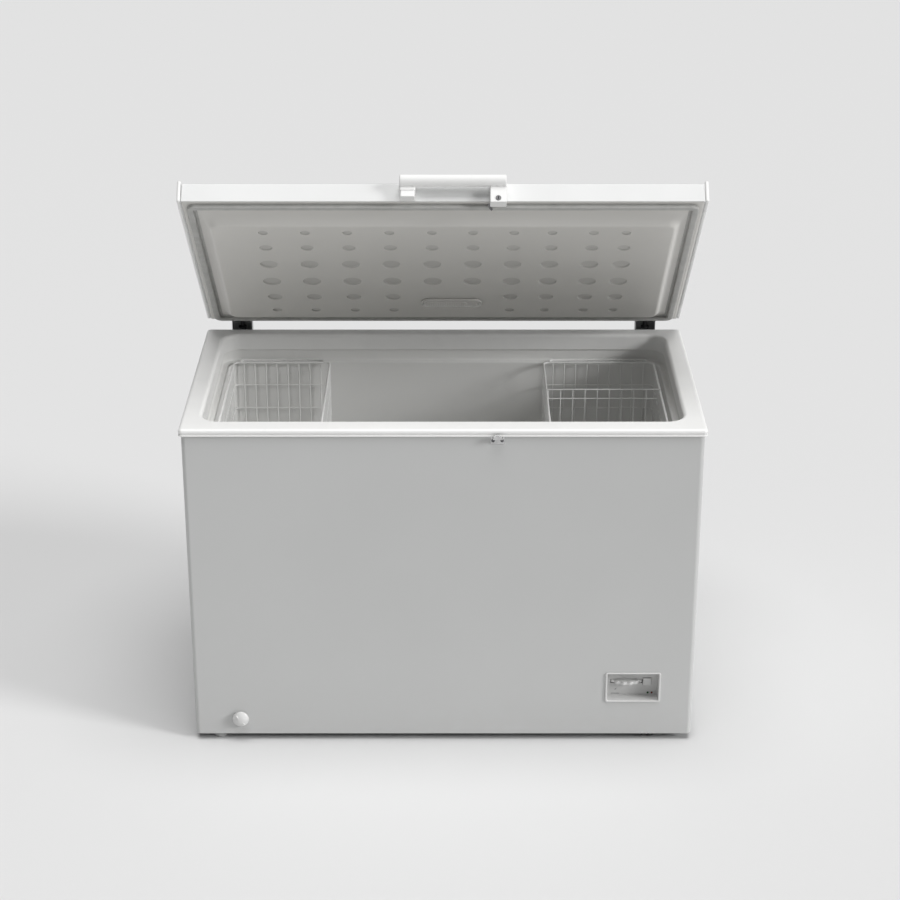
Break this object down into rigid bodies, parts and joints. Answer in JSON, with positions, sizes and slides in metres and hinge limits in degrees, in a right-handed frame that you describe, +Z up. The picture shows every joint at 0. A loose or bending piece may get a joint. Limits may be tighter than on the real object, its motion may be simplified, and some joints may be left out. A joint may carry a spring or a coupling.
{
  "type": "chest freezer",
  "caption": "Chest freezer with a lift-up lid, foamed walls, hanging wire baskets, a thermostat recess, a drain, a lockable handle, feet and castors.",
  "frame": {"origin": "on the floor, under the middle of the whole object's box with the lid at its resting, open angle", "axes": "+Z up, +X to the right as seen from the front, the front faces -Y"},
  "size_m": [1.115, 0.653, 1.2649],
  "materials": {
    "painted_steel": "gloss",
    "white_plastic": "satin",
    "liner_white": "satin",
    "lid_liner_white": "satin",
    "grey_plastic": "satin",
    "seal_grey": "matte",
    "zinc_steel": "satin",
    "dark_steel": "satin",
    "compressor_black": "satin",
    "black_plastic": "satin",
    "foam": "matte",
    "copper_tube": "satin",
    "aluminium_tube": "satin",
    "coated_wire": "gloss",
    "lamp_diffuser": "satin",
    "green_lens": "gloss",
    "red_lens": "gloss",
    "circuit_board": "satin"
  },
  "bodies": {
    "cabinet": {"outer_wrapper": "painted_steel", "back_panel": "zinc_steel", "base_plate": "zinc_steel", "compressor_tray": "zinc_steel", "compressor_bulkhead": "zinc_steel", "insulation_foam": "foam", "inner_liner": "liner_white", "top_trim": "white_plastic", "lock_catch": "zinc_steel", "evaporator_coil": "aluminium_tube", "condenser_coil": "copper_tube", "compressor": "compressor_black", "start_relay": "black_plastic", "filter_drier": "copper_tube", "discharge_pipe": "copper_tube", "suction_pipe": "copper_tube", "compressor_cover": "grey_plastic", "cord_gland": "black_plastic", "control_bezel": "white_plastic", "control_housing": "grey_plastic", "thermostat": "black_plastic", "power_lens": "green_lens", "alarm_lens": "red_lens", "drain_pipe": "white_plastic", "front_foot": "grey_plastic", "rear_foot": "grey_plastic", "left_hinge_box": "dark_steel", "right_hinge_box": "dark_steel", "left_hinge_pin": "zinc_steel", "right_hinge_pin": "zinc_steel", "left_hinge_spring": "dark_steel", "right_hinge_spring": "dark_steel"},
    "lid": {"lid_outer": "painted_steel", "lid_foam": "foam", "lid_liner": "lid_liner_white", "lid_gasket": "seal_grey", "left_lid_rim": "white_plastic", "right_lid_rim": "white_plastic", "lid_handle": "white_plastic", "lamp_cover": "lamp_diffuser", "lamp_board": "circuit_board", "left_hinge_arm": "zinc_steel", "right_hinge_arm": "zinc_steel"},
    "lid_lock": {"lid_lock": "zinc_steel"},
    "left_plunger": {"left_hinge_plunger": "black_plastic"},
    "right_plunger": {"right_hinge_plunger": "black_plastic"},
    "left_basket": {"left_basket": "coated_wire"},
    "right_basket": {"right_basket": "coated_wire"},
    "basket_divider": {"basket_divider": "coated_wire"},
    "thermostat_wheel": {"thermostat_wheel": "white_plastic"},
    "fast_freeze_switch": {"fast_freeze_switch": "white_plastic"},
    "drain_spout": {"drain_spout": "white_plastic"},
    "drain_knob": {"drain_knob": "white_plastic"},
    "drain_plug": {"drain_plug": "white_plastic"},
    "front_castor": {"front_castor_housing": "black_plastic"},
    "rear_castor": {"rear_castor_housing": "black_plastic"},
    "front_wheels": {"front_castor_wheels": "black_plastic"},
    "rear_wheels": {"rear_castor_wheels": "black_plastic"}
  },
  "joints": [
    {"name": "lid_hinge", "type": "hinge", "parent": "cabinet", "child": "lid", "pos_m": [0, 0.317, 0.786], "axis": [-1, 0, 0], "range_deg": [-43, 32]},
    {"name": "lock_turn", "type": "hinge", "parent": "lid", "child": "lid_lock", "pos_m": [0.115, -0.18013, 1.21403], "axis": [0, -0.7314, 0.682], "range_deg": [0, 60]},
    {"name": "left_plunger_slide", "type": "slide", "parent": "cabinet", "child": "left_plunger", "axis": [0, 0, 1], "range_m": [-0.0036, 0.0027], "deforming": ["left_hinge_spring"]},
    {"name": "right_plunger_slide", "type": "slide", "parent": "cabinet", "child": "right_plunger", "axis": [0, 0, 1], "range_m": [-0.0036, 0.0027], "deforming": ["right_hinge_spring"]},
    {"name": "left_basket_slide", "type": "slide", "parent": "cabinet", "child": "left_basket", "axis": [1, 0, 0], "range_m": [0, 0.225]},
    {"name": "right_basket_slide", "type": "slide", "parent": "cabinet", "child": "right_basket", "axis": [1, 0, 0], "range_m": [-0.2, 0]},
    {"name": "divider_slide", "type": "slide", "parent": "right_basket", "child": "basket_divider", "axis": [0, 1, 0], "range_m": [-0.25, 0.165]},
    {"name": "thermostat_turn", "type": "hinge", "parent": "cabinet", "child": "thermostat_wheel", "pos_m": [0.4072, -0.257, 0.137], "axis": [0, 0, 1], "range_deg": [-135, 135]},
    {"name": "fast_freeze_rock", "type": "hinge", "parent": "cabinet", "child": "fast_freeze_switch", "pos_m": [0.4525, -0.286, 0.136], "axis": [1, 0, 0], "range_deg": [0, 20]},
    {"name": "drain_spout_slide", "type": "slide", "parent": "cabinet", "child": "drain_spout", "axis": [0, -1, 0], "range_m": [0, 0.025]},
    {"name": "drain_knob_turn", "type": "hinge", "parent": "drain_spout", "child": "drain_knob", "pos_m": [-0.451, -0.31, 0.056], "axis": [0, -1, 0], "range_deg": [0, 90]},
    {"name": "drain_plug_lift", "type": "slide", "parent": "cabinet", "child": "drain_plug", "axis": [0, 0, 1], "range_m": [0, 0.05]},
    {"name": "front_castor_swivel", "type": "hinge", "parent": "cabinet", "child": "front_castor", "pos_m": [0.457, -0.277, 0.04], "axis": [0, 0, 1], "continuous": true},
    {"name": "rear_castor_swivel", "type": "hinge", "parent": "cabinet", "child": "rear_castor", "pos_m": [0.457, 0.26, 0.04], "axis": [0, 0, 1], "continuous": true},
    {"name": "front_wheels_roll", "type": "hinge", "parent": "front_castor", "child": "front_wheels", "pos_m": [0.457, -0.288, 0.015], "axis": [1, 0, 0], "continuous": true},
    {"name": "rear_wheels_roll", "type": "hinge", "parent": "rear_castor", "child": "rear_wheels", "pos_m": [0.457, 0.249, 0.015], "axis": [1, 0, 0], "continuous": true}
  ],
  "couplings": [
    {"joint": "left_plunger_slide", "follows": "lid_hinge", "m_per_rad": 0.00458},
    {"joint": "right_plunger_slide", "follows": "lid_hinge", "m_per_rad": 0.00458}
  ]
}
